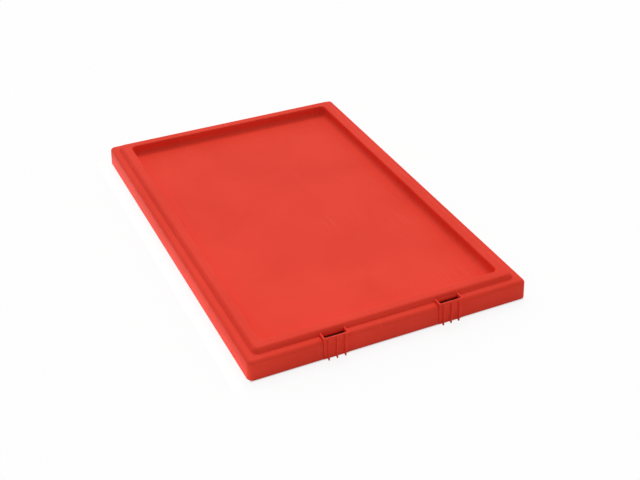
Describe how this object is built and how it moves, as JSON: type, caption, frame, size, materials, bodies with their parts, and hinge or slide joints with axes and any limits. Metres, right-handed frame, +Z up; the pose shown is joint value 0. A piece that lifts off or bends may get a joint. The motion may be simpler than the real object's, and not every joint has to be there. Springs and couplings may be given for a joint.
{
  "type": "tote lid",
  "caption": "Detachable red lid for a stack-and-nest tote, with a recessed top that locates the tote above and two sprung catches at its front end.",
  "frame": {"origin": "under the middle of the lid's outline, level with the tips of the grip ribs, its lowest points", "axes": "+Z up, +Y along the lid's length towards its rear end, +X across it"},
  "size_m": [0.402, 0.6126, 0.0364],
  "materials": {
    "moulded_polyethylene": "semi-gloss, as moulded, red"
  },
  "bodies": {
    "lid": {"lid_shell": "moulded_polyethylene"},
    "catch_left": {"catch_left": "moulded_polyethylene"},
    "catch_right": {"catch_right": "moulded_polyethylene"}
  },
  "joints": [
    {"name": "catch_left_flex", "type": "hinge", "parent": "lid", "child": "catch_left", "pos_m": [-0.0825, -0.28956, 0.0322], "axis": [-1, 0, 0], "range_deg": [0, 5], "stiffness_Nm_per_rad": 2.5},
    {"name": "catch_right_flex", "type": "hinge", "parent": "lid", "child": "catch_right", "pos_m": [0.0825, -0.28956, 0.0322], "axis": [-1, 0, 0], "range_deg": [0, 5], "stiffness_Nm_per_rad": 2.5}
  ]
}
